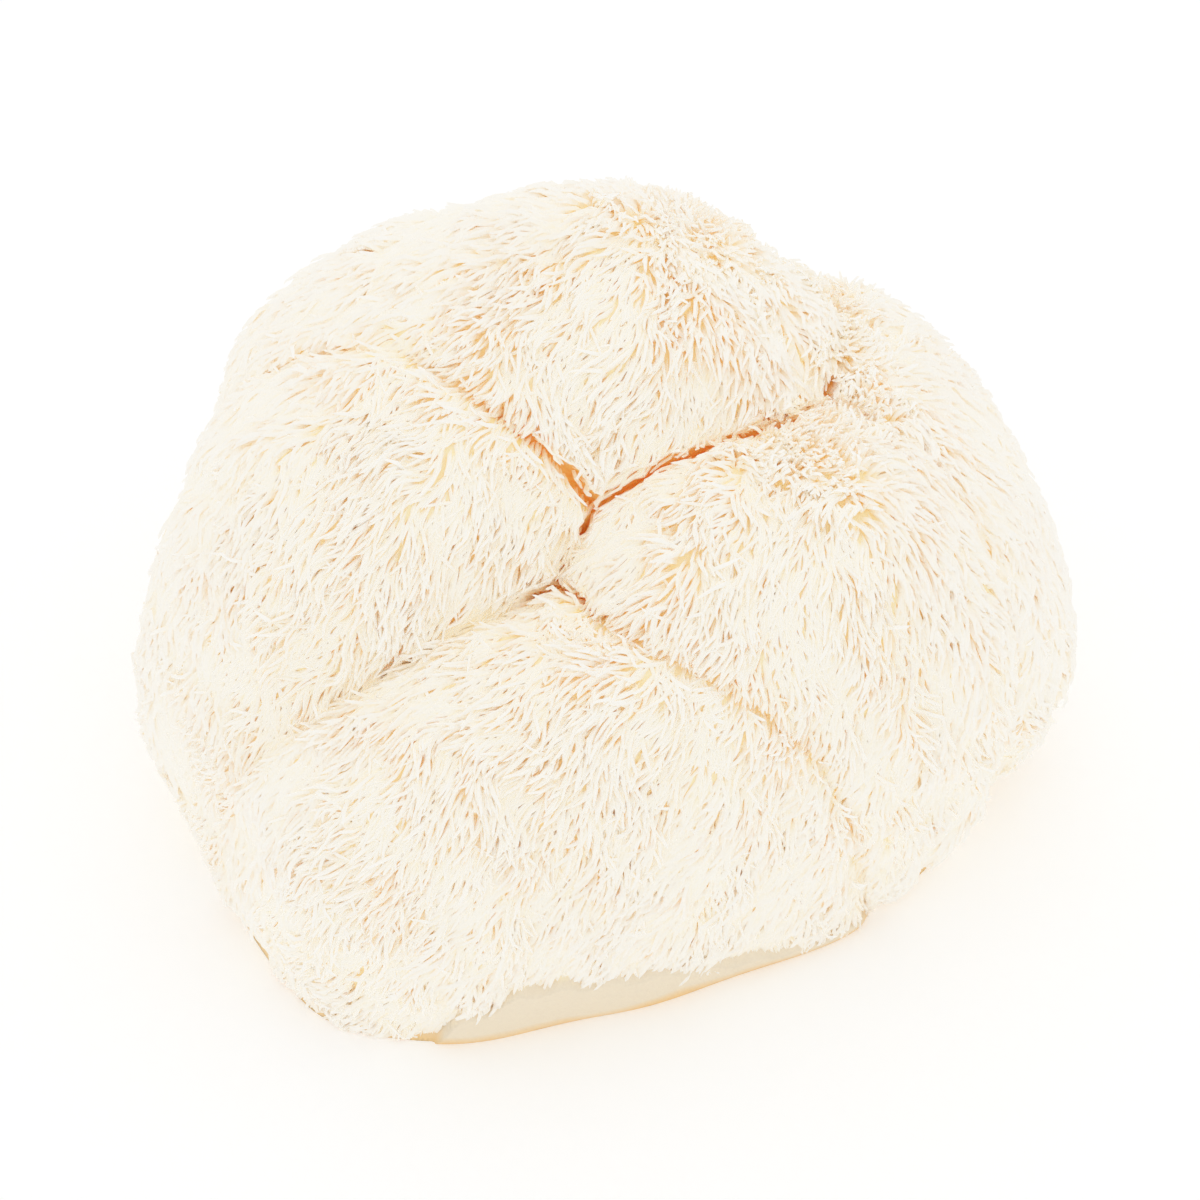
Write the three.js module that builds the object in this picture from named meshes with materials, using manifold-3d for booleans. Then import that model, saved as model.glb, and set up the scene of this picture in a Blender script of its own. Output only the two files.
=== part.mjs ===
// Lion's mane mushroom: one fruit body grown as a cluster of pillow-like lobes that have run
// together, split by tight clefts near its middle and cut flat underneath where it left its
// block. Millimetres, +Z up. The origin is on the flat base, in the middle of the cluster seen
// from above. The surface is the outer one, at the tips of the spines.
import * as THREE from 'three';
import { mergeVertices } from 'three/addons/utils/BufferGeometryUtils.js';
import Module from 'manifold-3d';

// ---------------------------------------------------------------- overall sizes
const CLUSTER_WIDTH_SCALE = 1.0; // stretch of the whole cluster along X
const CLUSTER_DEPTH_SCALE = 1.0; // stretch of the whole cluster along Y
const CLUSTER_HEIGHT_SCALE = 1.0; // stretch of the whole cluster along Z

// ---------------------------------------------------------------- how lobes meet
const BLEND = 5.0; // how softly neighbouring lobes run together
const LOBE_FULLNESS = 2.4; // 2 is a plain ellipsoid, more is boxier
const SWELL_HEIGHT = 0.8; // soft bumps over the lobes
const SWELL_LENGTH = 26.0; // distance from one bump to the next
const CLEFT_WIDTH = 1.4; // opening of a cleft
const CLEFT_RISE = 12.0; // how far a cleft's cutter stands out of the surface

// Each lobe: centre, half extents, then its turn about Z, lean about X and roll about Y in degrees.
const LOBES = [
  { centre: [0, -18, 20], half: [49, 22, 41], turn: 20, lean: 3, roll: -3 }, // front
  { centre: [23, -2, 30], half: [34, 25, 44], turn: 7, lean: 3, roll: 2 }, // right
  { centre: [-29, 13, 36], half: [38, 27, 48], turn: 35, lean: 15, roll: 8 }, // left
  { centre: [-8, 29, 50], half: [44, 28, 42], turn: 0, lean: 15, roll: -20 }, // top
  { centre: [44, 23, 35], half: [21, 34, 36], turn: 14, lean: 13, roll: -23 }, // far right
  { centre: [19, 35, 27], half: [31, 24, 33], turn: 12, lean: -2, roll: 6 }, // back right
  { centre: [-22, 40, 31], half: [33, 22, 36], turn: 3, lean: -6, roll: 5 }, // back left
  { centre: [-40, -10, 14], half: [17, 22, 28], turn: 30, lean: 0, roll: 0 }, // foot at the left
  { centre: [2, 14, 20], half: [38, 30, 38], turn: 0, lean: 0, roll: 0 }, // middle, all but hidden
];

// The point that every part of the surface is seen from.
const HEART = [0, 8, 34];

// Each cleft: its two ends on the surface and how deep it is at each.
const CLEFTS = [
  { from: [-3, -4, 73], to: [16, 2, 75], fromDepth: 9, toDepth: 9 }, // top from right, near
  { from: [15, 1, 75], to: [34, 16, 69], fromDepth: 9, toDepth: 4 }, // top from right, far
  { from: [-1, -5, 71], to: [-14, 3, 84], fromDepth: 9, toDepth: 3 }, // top from left
  { from: [-2, -3, 72], to: [-7, -15, 61], fromDepth: 9, toDepth: 9 }, // left from right
  { from: [-5, -14, 62], to: [-32, -21, 55], fromDepth: 9, toDepth: 3 }, // left from front
];

// ---------------------------------------------------------------- mesh fineness
const BODY_DETAIL = 22; // rows of facets across one face of the starting icosahedron
const STEP = 2.0; // stride along a ray while looking for the surface
const LONGEST_RAY = 150.0;
const HALVINGS = 14; // refinements of the last stride
const WELD = 1e-4; // corners closer than this are one corner
const FLOOR_SIDE = 400; // side of the block below the base that the cluster is cut with

// ---------------------------------------------------------------- the surface as a field
const DEGREE = Math.PI / 180;

/** Turn that carries a lobe's own axes to the cluster's axes. */
function lobeTurn(lobe) {
  return new THREE.Matrix4().makeRotationZ(lobe.turn * DEGREE)
    .multiply(new THREE.Matrix4().makeRotationY(lobe.roll * DEGREE))
    .multiply(new THREE.Matrix4().makeRotationX(lobe.lean * DEGREE));
}

/** A lobe with its sizes as vectors and its turn undone, ready for measuring. */
function readyLobe(lobe) {
  return {
    centre: new THREE.Vector3(...lobe.centre),
    half: new THREE.Vector3(...lobe.half),
    untwist: lobeTurn(lobe).invert(),
  };
}

/** Length of a vector measured so that the unit ball is a rounded box. */
function fullness(vector) {
  const sum = Math.abs(vector.x) ** LOBE_FULLNESS
    + Math.abs(vector.y) ** LOBE_FULLNESS
    + Math.abs(vector.z) ** LOBE_FULLNESS;
  return Math.max(sum ** (1 / LOBE_FULLNESS), WELD);
}

/** Distance of a point outside a lobe's own skin, negative inside. */
function lobeDistance(lobe, point) {
  const local = point.clone().sub(lobe.centre).applyMatrix4(lobe.untwist).divide(lobe.half);
  const reach = fullness(local);
  const power = LOBE_FULLNESS - 1;
  const slope = new THREE.Vector3(
    (Math.abs(local.x) / reach) ** power,
    (Math.abs(local.y) / reach) ** power,
    (Math.abs(local.z) / reach) ** power,
  ).divide(lobe.half);
  return (reach - 1) / slope.length();
}

/** Height of the soft bumps that keep the lobes from looking turned on a lathe. */
function swell(point) {
  const k = (2 * Math.PI) / SWELL_LENGTH;
  const wave = Math.sin(point.x * k + 1.3 * Math.sin(point.z * k * 0.7))
    + Math.sin(point.y * k + 2.1 + Math.sin(point.x * k * 0.6))
    + Math.sin(point.z * k + 4.0 + Math.sin(point.y * k * 0.8));
  return (SWELL_HEIGHT * wave) / 3;
}

/** Distance of a point outside the run-together lobes, negative inside. */
function clusterDistance(lobes, point) {
  const distances = lobes.map((lobe) => lobeDistance(lobe, point));
  const nearest = Math.min(...distances);
  let sum = 0;
  for (const distance of distances) {
    sum += Math.exp((nearest - distance) / BLEND);
  }
  return nearest - BLEND * Math.log(sum) - swell(point);
}

/** How far the surface is from the heart in one direction. */
function reachAlong(lobes, heart, direction) {
  const at = (distance) => clusterDistance(
    lobes, heart.clone().addScaledVector(direction, distance),
  );
  let inside = 0;
  while (inside < LONGEST_RAY && at(inside + STEP) < 0) {
    inside += STEP;
  }
  let outside = inside + STEP;
  for (let i = 0; i < HALVINGS; i += 1) {
    const middle = (inside + outside) / 2;
    if (at(middle) < 0) {
      inside = middle;
    } else {
      outside = middle;
    }
  }
  return inside;
}

// ---------------------------------------------------------------- geometries
/** A geometry with shared corners and nothing but their places. */
function welded(geometry) {
  geometry.deleteAttribute('normal');
  geometry.deleteAttribute('uv');
  return mergeVertices(geometry, WELD);
}

/** The closed surface of the run-together lobes, before any cut. */
function clusterGeometry() {
  const lobes = LOBES.map(readyLobe);
  const heart = new THREE.Vector3(...HEART);
  const skin = welded(new THREE.IcosahedronGeometry(1, BODY_DETAIL));
  const corners = skin.getAttribute('position');
  const corner = new THREE.Vector3();
  for (let i = 0; i < corners.count; i += 1) {
    corner.fromBufferAttribute(corners, i).normalize();
    corner.multiplyScalar(reachAlong(lobes, heart, corner)).add(heart);
    corners.setXYZ(i, corner.x, corner.y, corner.z);
  }
  return skin;
}

/** The thin blade that cuts a cleft: it stands across the surface and points at the heart. */
function cleftGeometry(cleft) {
  const from = new THREE.Vector3(...cleft.from);
  const to = new THREE.Vector3(...cleft.to);
  const along = to.clone().sub(from);
  const length = along.length();
  along.normalize();
  const middle = from.clone().add(to).multiplyScalar(0.5);
  const outwards = middle.sub(new THREE.Vector3(...HEART));
  outwards.addScaledVector(along, -outwards.dot(along)).normalize();
  const across = new THREE.Vector3().crossVectors(along, outwards);

  const outline = new THREE.Shape();
  outline.moveTo(0, -cleft.fromDepth);
  outline.lineTo(length, -cleft.toDepth);
  outline.lineTo(length, CLEFT_RISE);
  outline.lineTo(0, CLEFT_RISE);
  outline.closePath();
  const blade = new THREE.ExtrudeGeometry(outline, { depth: CLEFT_WIDTH, bevelEnabled: false });
  blade.translate(0, 0, -CLEFT_WIDTH / 2);
  blade.applyMatrix4(new THREE.Matrix4().makeBasis(along, outwards, across));
  blade.translate(from.x, from.y, from.z);
  return welded(blade);
}

/** The block below the base, whose top is the surface the cluster rests on. */
function floorGeometry() {
  const box = new THREE.BoxGeometry(FLOOR_SIDE, FLOOR_SIDE, FLOOR_SIDE);
  box.translate(0, 0, -FLOOR_SIDE / 2);
  return welded(box);
}

// ---------------------------------------------------------------- joining and cutting
const wasm = await Module();
wasm.setup();

/** A solid from a closed geometry. */
function toSolid(geometry) {
  return new wasm.Manifold(new wasm.Mesh({
    numProp: 3,
    vertProperties: Float32Array.from(geometry.getAttribute('position').array),
    triVerts: Uint32Array.from(geometry.getIndex().array),
  }));
}

/** A geometry from a solid. */
function toGeometry(solid) {
  const mesh = solid.getMesh();
  const geometry = new THREE.BufferGeometry();
  geometry.setAttribute('position', new THREE.BufferAttribute(mesh.vertProperties, 3));
  geometry.setIndex(new THREE.BufferAttribute(mesh.triVerts, 1));
  geometry.computeVertexNormals();
  return geometry;
}

/** Stretch the cluster to its overall sizes and stand its middle over the origin. */
function centred(geometry) {
  geometry.scale(CLUSTER_WIDTH_SCALE, CLUSTER_DEPTH_SCALE, CLUSTER_HEIGHT_SCALE);
  geometry.computeBoundingBox();
  const middle = geometry.boundingBox.getCenter(new THREE.Vector3());
  geometry.translate(-middle.x, -middle.y, 0);
  return geometry;
}

/** The whole fruit body: the lobes, split by the clefts and cut flat at the base. */
function fruitBody() {
  let body = toSolid(clusterGeometry()).subtract(toSolid(floorGeometry()));
  for (const cleft of CLEFTS) {
    body = body.subtract(toSolid(cleftGeometry(cleft)));
  }
  return centred(toGeometry(body));
}

const mushroom = new THREE.Mesh(
  fruitBody(),
  new THREE.MeshStandardMaterial({ color: 0xf3e9d8, roughness: 0.85, metalness: 0 }),
);
mushroom.name = 'mushroom';

const part = new THREE.Group();
part.name = 'lions_mane_mushroom';
part.add(mushroom);

export default part;
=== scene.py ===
"""Lion's mane mushroom: pressed lobes of cream flesh under a coat of soft hanging spines.

The flesh is one piece. The coat runs over all the lobes, each spine a bent, tapered finger
that leaves the flesh steeply and then hangs the way the mushroom grew.
"""

import logging
import math
from dataclasses import dataclass, field, replace
from enum import Enum
from typing import Any, Sequence, Union

import bmesh
import bpy
import numpy as np
from mathutils import Matrix, Vector, kdtree


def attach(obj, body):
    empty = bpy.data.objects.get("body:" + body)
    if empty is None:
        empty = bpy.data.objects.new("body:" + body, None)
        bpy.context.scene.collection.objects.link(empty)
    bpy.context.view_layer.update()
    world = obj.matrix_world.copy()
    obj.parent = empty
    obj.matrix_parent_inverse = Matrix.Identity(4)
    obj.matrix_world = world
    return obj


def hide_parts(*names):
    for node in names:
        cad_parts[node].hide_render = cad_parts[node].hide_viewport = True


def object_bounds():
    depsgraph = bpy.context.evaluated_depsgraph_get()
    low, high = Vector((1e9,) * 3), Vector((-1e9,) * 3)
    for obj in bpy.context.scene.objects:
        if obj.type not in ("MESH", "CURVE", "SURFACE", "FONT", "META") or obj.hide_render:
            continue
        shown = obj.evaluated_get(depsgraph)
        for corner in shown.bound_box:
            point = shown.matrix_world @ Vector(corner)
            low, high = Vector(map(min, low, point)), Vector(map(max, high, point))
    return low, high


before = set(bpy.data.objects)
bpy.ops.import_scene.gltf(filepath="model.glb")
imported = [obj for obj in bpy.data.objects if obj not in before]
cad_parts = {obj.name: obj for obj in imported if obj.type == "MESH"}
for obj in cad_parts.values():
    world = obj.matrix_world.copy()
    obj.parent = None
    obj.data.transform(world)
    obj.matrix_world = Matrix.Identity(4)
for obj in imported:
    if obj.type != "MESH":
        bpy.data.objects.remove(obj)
CAD_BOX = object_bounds()

LOG = logging.getLogger("lions_mane")
MM = 0.001
NODE = "mushroom"
BODY = "root"

Colour = tuple[float, float, float]
Array = np.ndarray


# ------------------------------------------------------------------ small numeric helpers
def unit(vectors: Array) -> Array:
    """Return the rows of an array scaled to length one."""
    return vectors / np.maximum(np.linalg.norm(vectors, axis=-1, keepdims=True), 1e-9)


def dot(first: Array, second: Array) -> Array:
    """Return the row by row dot product, kept as a column."""
    return np.sum(first * second, axis=-1, keepdims=True)


def smooth_step(low: float, high: float, value: Array) -> Array:
    """Return 0 below low, 1 above high and an eased ramp between."""
    share = np.clip((value - low) / (high - low), 0.0, 1.0)
    return share * share * (3.0 - 2.0 * share)


class Drift:
    """A smooth vector field that wanders over a given distance, the same on every run."""

    WAVES = 18

    def __init__(self, distance: float, seed: int) -> None:
        """Choose the waves.

        Args:
            distance: Rough distance in mm over which the field changes its mind.
            seed: Seed of the wave directions and phases.
        """
        chance = np.random.default_rng(seed)
        headings = unit(chance.normal(size=(self.WAVES, 3)))
        lengths = distance * chance.uniform(0.7, 1.5, size=(self.WAVES, 1))
        self.numbers = headings * (2.0 * math.pi / lengths)
        self.phases = chance.uniform(0.0, 2.0 * math.pi, size=(3, self.WAVES))

    def at(self, points: Array) -> Array:
        """Return a vector of about unit spread for every point.

        Args:
            points: Places in mm, one a row.

        Returns:
            One vector a row.
        """
        turns = points @ self.numbers.T
        waves = [np.sin(turns + phase).sum(axis=1) for phase in self.phases]
        return np.stack(waves, axis=1) * math.sqrt(2.0 / self.WAVES)


# ------------------------------------------------------------------ the lobes
@dataclass(frozen=True)
class Lobe:
    """One pillow-like lobe: a rounded ellipsoid and the way its spines hang.

    Attributes:
        name: Name used for the lobe's spines.
        centre: Middle of the lobe in mm.
        half: Half extents in mm.
        turn: Degrees about Z.
        lean: Degrees about X.
        roll: Degrees about Y.
        hang: Direction that the spines hang in.
        spread: How much they fan out from the lobe's middle.
    """

    name: str
    centre: Sequence[float]
    half: Sequence[float]
    turn: float
    lean: float
    roll: float
    hang: Sequence[float] = (0.0, 0.0, -1.0)
    spread: float = 0.3

    FULLNESS = 2.4

    def frame(self) -> Array:
        """Return the matrix whose columns are the lobe's own axes."""
        turns = (
            Matrix.Rotation(math.radians(self.turn), 3, "Z")
            @ Matrix.Rotation(math.radians(self.roll), 3, "Y")
            @ Matrix.Rotation(math.radians(self.lean), 3, "X")
        )
        return np.array(turns)

    def gap(self, points: Array) -> tuple[Array, Array]:
        """Measure how far points are outside the lobe.

        Args:
            points: Places in mm, one a row.

        Returns:
            The distance, negative inside, as a column, and its slope.
        """
        local = (points - np.array(self.centre)) @ self.frame() / np.array(self.half)
        size = np.abs(local) + 1e-6
        reach = (size**self.FULLNESS).sum(axis=1, keepdims=True) ** (1.0 / self.FULLNESS)
        slope = np.sign(local) * (size / reach) ** (self.FULLNESS - 1.0) / np.array(self.half)
        steepness = np.linalg.norm(slope, axis=1, keepdims=True)
        return (reach - 1.0) / steepness, (slope / steepness) @ self.frame().T

    def droop(self, points: Array) -> Array:
        """Return the direction that a spine at each point hangs in."""
        offset = (points - np.array(self.centre)) / np.array(self.half)
        offset = offset * np.array((1.0, 1.0, 0.0))
        return unit(np.array([self.hang]) + self.spread * offset)


LOBES = (
    Lobe("front", (0, -18, 20), (49, 22, 41), 20, 3, -3, (-0.42, -0.1, -0.9), 0.25),
    Lobe("right", (23, -2, 30), (34, 25, 44), 7, 3, 2, (-0.2, -0.2, -0.9), 0.8),
    Lobe("left", (-29, 13, 36), (38, 27, 48), 35, 15, 8, (-0.55, -0.3, -0.8), 0.3),
    Lobe("top", (-8, 29, 50), (44, 28, 42), 0, 15, -20, (-0.55, -0.3, -0.8), 0.3),
    Lobe("far_right", (44, 23, 35), (21, 34, 36), 14, 13, -23, (0.15, -0.2, -1.0), 0.6),
    Lobe("back_right", (19, 35, 27), (31, 24, 33), 12, -2, 6, (0.1, 0.1, -1.0), 0.5),
    Lobe("back_left", (-22, 40, 31), (33, 22, 36), 3, -6, 5, (-0.2, 0.1, -1.0), 0.5),
    Lobe("left_foot", (-40, -10, 14), (17, 22, 28), 30, 0, 0, (-0.5, -0.3, -0.9), 0.3),
    Lobe("middle", (2, 14, 20), (38, 30, 38), 0, 0, 0),
)
FILLERS = len(LOBES) - 2  # the last two lobes only fill in and have no seams


@dataclass(frozen=True)
class Cleft:
    """A tight cleft between two lobes.

    Attributes:
        start: One end on the surface, in mm.
        end: The other end.
        start_depth: Depth in mm at the first end.
        end_depth: Depth in mm at the other.
        mouth: Half width in mm that the spines leave open.
        gaps: How many short gaps it opens in, none when it is open all along.
    """

    start: Sequence[float]
    end: Sequence[float]
    start_depth: float
    end_depth: float
    mouth: float
    gaps: int = 0

    REACH = (7.0, 3.0)  # distances in mm where a cleft has ended and where it is full
    PARTING = (0.25, 0.8)  # how high a wave along the cleft must be for a gap to open

    def near(self, points: Array) -> tuple[Array, Array]:
        """Return the cleft's depth and mouth beside each point, nothing away from it.

        Args:
            points: Places in mm, one a row.

        Returns:
            The depths and the mouths in mm, as columns.
        """
        start, along = np.array(self.start), np.array(self.end) - np.array(self.start)
        share = (points - start) @ along[:, None] / (along @ along)
        share = np.clip(share, 0.0, 1.0)
        away = np.linalg.norm(points - start - share * along, axis=1, keepdims=True)
        depth = self.start_depth + (self.end_depth - self.start_depth) * share
        near = smooth_step(*self.REACH, away)
        mouth = self.mouth * near * depth / self.start_depth
        if self.gaps:
            wave = np.sin(math.pi * self.gaps * share) ** 2
            mouth = mouth * smooth_step(*self.PARTING, wave)
        return depth * near, mouth


CLEFTS = (
    Cleft((-3, -4, 73), (16, 2, 75), 9, 9, 1.05),
    Cleft((15, 1, 75), (34, 16, 69), 9, 5, 1.0),
    Cleft((-1, -5, 71), (-14, 3, 84), 9, 1, 0.45),
    Cleft((-2, -3, 72), (-7, -15, 61), 9, 9, 0.75, 2),
    Cleft((-5, -14, 62), (-32, -21, 55), 9, 6, 0.65, 3),
)


@dataclass(frozen=True)
class Nearby:
    """What the cluster is like near some points, one row for each.

    Attributes:
        height: Height in mm over the asked layer, negative below it.
        out: Outward direction.
        shares: How much each lobe has a part in it.
        gaps: Distance in mm from each lobe.
        slopes: Outward direction of each lobe, points by lobes by 3.
    """

    height: Array
    out: Array
    shares: Array
    gaps: Array
    slopes: Array

    FAR = 1e3  # distance in mm that keeps a lobe from being chosen
    LEAST_SLOPE = 0.4  # slope between two lobes' gaps below which they count as level

    def seam(self, owner: Array) -> tuple[Array, Array]:
        """Measure how far points are from the seam between lobes.

        Args:
            owner: Index of the lobe that each point belongs to.

        Returns:
            The distance in mm as a column, negative past the seam, and the way back.
        """
        rows = np.arange(len(owner))
        others = self.gaps.copy()
        others[:, FILLERS:] = self.FAR
        others[rows, owner] = self.FAR
        rival = others.argmin(axis=1)
        back = self.slopes[rows, rival] - self.slopes[rows, owner]
        steepness = np.maximum(np.linalg.norm(back, axis=1), self.LEAST_SLOPE)
        room = (others[rows, rival] - self.gaps[rows, owner]) / steepness
        return room[:, None], unit(back)


@dataclass
class Cluster:
    """All the lobes run together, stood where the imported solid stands.

    Attributes:
        blend: How softly the lobes run together.
        coat_depth: Height in mm of the layer of spines over the flesh.
        swell_height: Height in mm of the soft bumps over the lobes.
        swell_length: Distance in mm from one bump to the next.
        crease_depth: Depth in mm of the narrow fold along a seam.
        crease_width: Distance in mm from the seam at which the fold has nearly gone.
        heart: Point in mm that the whole surface is seen from.
        rim: Upper edge of the bare cut rim, as places along X and heights, in mm.
    """

    blend: float = 5.0
    coat_depth: float = 2.2
    swell_height: float = 0.8
    swell_length: float = 26.0
    crease_depth: float = 1.3
    crease_width: float = 2.0
    heart: Sequence[float] = (0.0, 8.0, 34.0)
    rim: Sequence[tuple[float, float]] = (
        (-24.0, 0.0),
        (-21.0, 5.0),
        (-16.0, 8.0),
        (-11.0, 11.5),
        (-4.0, 11.0),
        (11.0, 7.5),
        (23.0, 3.5),
        (35.0, 2.5),
        (42.0, 0.0),
    )
    shift: Array = field(init=False)

    def __post_init__(self) -> None:
        """Work out how far the lobes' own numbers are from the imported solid's place."""
        seed, rays = 5, 60000
        headings = unit(np.random.default_rng(seed).normal(size=(rays, 3)))
        skin = self.surface(headings, 0.0)
        skin = skin[skin[:, 2] > 0.0]
        middle = (skin.min(axis=0) + skin.max(axis=0)) / 2.0
        wanted = (np.array(CAD_BOX[0]) + np.array(CAD_BOX[1])) / 2.0 / MM
        self.shift = wanted - middle
        self.shift[2] = 0.0

    def swell(self, points: Array) -> Array:
        """Return the height in mm of the soft bumps over the lobes."""
        k = 2.0 * math.pi / self.swell_length
        x, y, z = points[:, 0:1], points[:, 1:2], points[:, 2:3]
        wave = (
            np.sin(x * k + 1.3 * np.sin(z * k * 0.7))
            + np.sin(y * k + 2.1 + np.sin(x * k * 0.6))
            + np.sin(z * k + 4.0 + np.sin(y * k * 0.8))
        )
        return self.swell_height * wave / 3.0

    def near(self, points: Array, inset: float) -> Nearby:
        """Measure the cluster near some points.

        Args:
            points: Places in mm, one a row.
            inset: Depth in mm below the outer surface of the layer that heights start from.

        Returns:
            What it is like there.
        """
        measured = [lobe.gap(points) for lobe in LOBES]
        gaps = np.concatenate([gap for gap, _ in measured], axis=1)
        slopes = np.stack([slope for _, slope in measured], axis=1)
        nearest = gaps.min(axis=1, keepdims=True)
        shares = np.exp((nearest - gaps) / self.blend)
        total = shares.sum(axis=1, keepdims=True)
        height = nearest - self.blend * np.log(total) - self.swell(points) + inset
        shares = shares / total
        out = unit((slopes * shares[:, :, None]).sum(axis=1))
        plain = Nearby(height, out, shares, gaps, slopes)
        room, _ = plain.seam(gaps[:, :FILLERS].argmin(axis=1))
        lobed = shares[:, :FILLERS].sum(axis=1, keepdims=True)
        fold = self.crease_depth * lobed * np.exp(-((room / self.crease_width) ** 2))
        return replace(plain, height=height + fold)

    def surface(self, headings: Array, inset: float) -> Array:
        """Return where rays from the heart leave a layer.

        Args:
            headings: Directions of the rays, one a row.
            inset: Depth in mm of the layer below the outer surface.

        Returns:
            One point a row, in mm.
        """
        stride, halvings = 4.0, 12
        heart = np.array(self.heart)
        inside = np.zeros((len(headings), 1))
        outside = inside + stride
        searching = np.ones(len(headings), bool)
        while searching.any():
            ahead = heart + headings[searching] * outside[searching]
            still = self.near(ahead, inset).height < 0.0
            rows = np.flatnonzero(searching)
            moved = rows[still[:, 0]]
            inside[moved] = outside[moved]
            outside[moved] += stride
            searching[rows[~still[:, 0]]] = False
        for _ in range(halvings):
            middle = (inside + outside) / 2.0
            deep = self.near(heart + headings * middle, inset).height < 0.0
            inside = np.where(deep, middle, inside)
            outside = np.where(deep, outside, middle)
        return heart + headings * inside

    @staticmethod
    def cleft(points: Array) -> tuple[Array, Array]:
        """Return the depth and mouth in mm of the nearest cleft, nothing away from all."""
        depths, mouths = zip(*(cleft.near(points) for cleft in CLEFTS))
        return np.max(depths, axis=0), np.max(mouths, axis=0)

    def bare(self, points: Array) -> Array:
        """Return 1 on the bare cut rim at the foot of the front lobe and 0 off it.

        Args:
            points: Places in mm, one a row.

        Returns:
            One share a row, as a column.
        """
        ripple, ripples_per_mm, softness, front = 0.7, 0.9, 0.6, (-6.0, -10.0)
        places, heights = zip(*self.rim)
        edge = np.interp(points[:, 0:1], places, heights)
        edge = edge + ripple * np.sin(points[:, 0:1] * ripples_per_mm) * (edge > 0.5)
        fore = smooth_step(*front, points[:, 1:2])
        return fore * smooth_step(edge + softness, edge - softness, points[:, 2:3])

    def to_metres(self, points: Array) -> Array:
        """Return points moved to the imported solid's place, in metres."""
        return (points + self.shift) * MM


# ------------------------------------------------------------------ shader words
class Socket:
    """A shader value that Python's operators work on, each adding a Math node."""

    def __init__(self, tree: "Tree", link: Any) -> None:
        """Keep the tree the value lives in and the output that carries it."""
        self.tree = tree
        self.link = link

    def _math(self, operation: str, *values: Any) -> "Socket":
        """Return the result of a Math node on some values."""
        return self.tree.node("ShaderNodeMath", {"operation": operation}, *values)

    def __add__(self, other: Any) -> "Socket":
        """Return the sum."""
        return self._math("ADD", self, other)

    def __mul__(self, other: Any) -> "Socket":
        """Return the product."""
        return self._math("MULTIPLY", self, other)

    def __sub__(self, other: Any) -> "Socket":
        """Return the difference."""
        return self._math("SUBTRACT", self, other)

    def __rsub__(self, other: Any) -> "Socket":
        """Return the difference the other way round."""
        return self._math("SUBTRACT", other, self)

    def clamped(self) -> "Socket":
        """Return the value held between 0 and 1."""
        return self.tree.node("ShaderNodeClamp", {}, self, 0.0, 1.0)


class Tree:
    """A material's nodes, with one method for every node that isn't arithmetic."""

    def __init__(self, name: str) -> None:
        """Start an empty material.

        Args:
            name: The material's name.
        """
        self.material = bpy.data.materials.new(name)
        self.material.use_nodes = True
        self.nodes = self.material.node_tree.nodes
        self.nodes.clear()
        self.shader = self.nodes.new("ShaderNodeBsdfPrincipled")
        output = self.nodes.new("ShaderNodeOutputMaterial")
        self.material.node_tree.links.new(self.shader.outputs[0], output.inputs[0])

    def _fill(self, socket: Any, value: Any) -> None:
        """Put a number, colour or link in a socket."""
        if value is None:
            return
        if isinstance(value, Socket):
            self.material.node_tree.links.new(value.link, socket)
        elif isinstance(value, tuple) and socket.type == "RGBA":
            socket.default_value = (*value, 1.0)
        else:
            socket.default_value = value

    def node(
        self, kind: str, settings: dict[str, Any], *values: Any, out: Union[int, str] = 0
    ) -> Socket:
        """Add a node.

        Args:
            kind: The node's type.
            settings: Properties set before the sockets are filled. "stops" fills a ramp.
            *values: What goes in its sockets in order, None to leave one alone.
            out: Which output is wanted.

        Returns:
            That output.
        """
        made = self.nodes.new(kind)
        for key, value in settings.items():
            if key == "stops":
                self._fill_ramp(made.color_ramp, value)
            else:
                setattr(made, key, value)
        for socket, value in zip([s for s in made.inputs if s.enabled], values):
            self._fill(socket, value)
        return Socket(self, made.outputs[out])

    @staticmethod
    def _fill_ramp(ramp: Any, stops: Sequence[tuple[float, Colour]]) -> None:
        """Set a colour ramp's stops.

        Args:
            ramp: The node's colour ramp.
            stops: Places and colours, in order.
        """
        while len(ramp.elements) < len(stops):
            ramp.elements.new(1.0)
        for element, (place, colour) in zip(ramp.elements, stops):
            element.position = place
            element.color = (*colour, 1.0)

    def mix(self, factor: Any, first: Any, second: Any) -> Socket:
        """Return a blend of two colours."""
        made = self.nodes.new("ShaderNodeMix")
        made.data_type = "RGBA"
        self._fill(made.inputs["Factor"], factor)
        self._fill(made.inputs[6], first)
        self._fill(made.inputs[7], second)
        return Socket(self, made.outputs[2])

    def noise(self, place: Socket, size: float, detail: float) -> Socket:
        """Return cloudy noise whose patches are about a size across, in metres."""
        return self.node("ShaderNodeTexNoise", {}, place, 1.0 / size, detail, 0.55)

    def place(self) -> Socket:
        """Return the object's own coordinates."""
        return self.node("ShaderNodeTexCoord", {}, out="Object")

    def parts(self, vector: Socket) -> tuple[Socket, Socket, Socket]:
        """Return a vector's three numbers."""
        made = self.nodes.new("ShaderNodeSeparateXYZ")
        self._fill(made.inputs[0], vector)
        return tuple(Socket(self, output) for output in made.outputs)

    def set(self, name: str, value: Any) -> None:
        """Fill one of the shader's own sockets."""
        self._fill(self.shader.inputs[name], value)


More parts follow.
